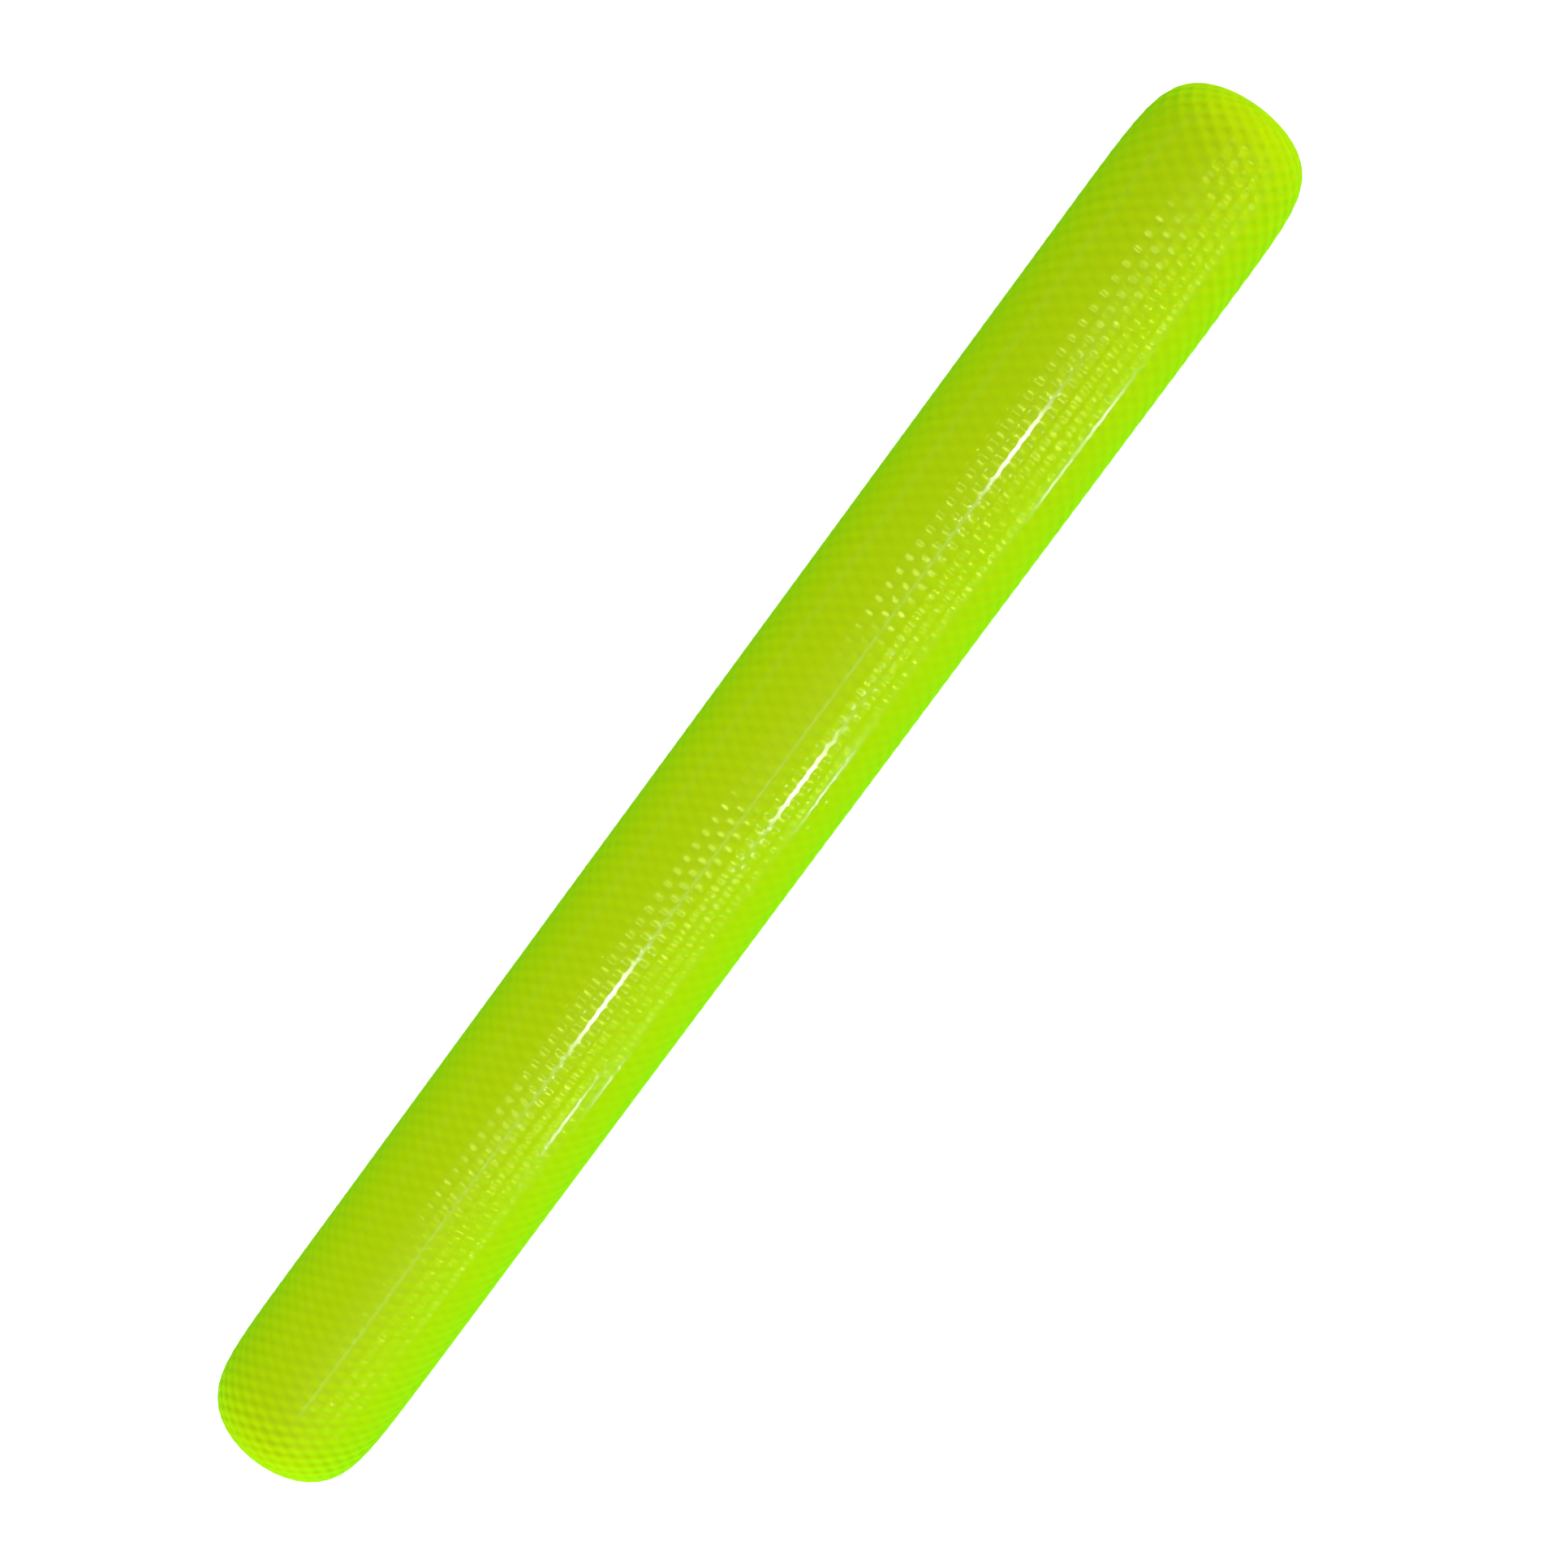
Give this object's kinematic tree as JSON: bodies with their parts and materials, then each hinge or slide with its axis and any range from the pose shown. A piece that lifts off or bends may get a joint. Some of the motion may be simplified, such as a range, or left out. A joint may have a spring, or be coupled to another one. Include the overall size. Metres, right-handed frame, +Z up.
{
  "type": "pool noodle",
  "caption": "Oversized soft-foam pool noodle: a straight round bar with blunt domed ends, in a glossy lime vinyl skin over a closed-cell foam core.",
  "frame": {"origin": "on the surface that the noodle lies on, under the middle of its length", "axes": "+X along the noodle towards the end that is at the upper right in the picture, +Z up"},
  "size_m": [1.181, 0.126, 0.1255],
  "materials": {
    "lime_vinyl": "glossy fluorescent yellow-green vinyl, embossed all over with a staggered lattice of low bumps",
    "closed_cell_foam": "matt, fine closed cells"
  },
  "bodies": {
    "root": {"foam_core": "closed_cell_foam", "skin_sleeve": "lime_vinyl", "skin_end_cap_left": "lime_vinyl", "skin_end_cap_right": "lime_vinyl"}
  },
  "joints": []
}
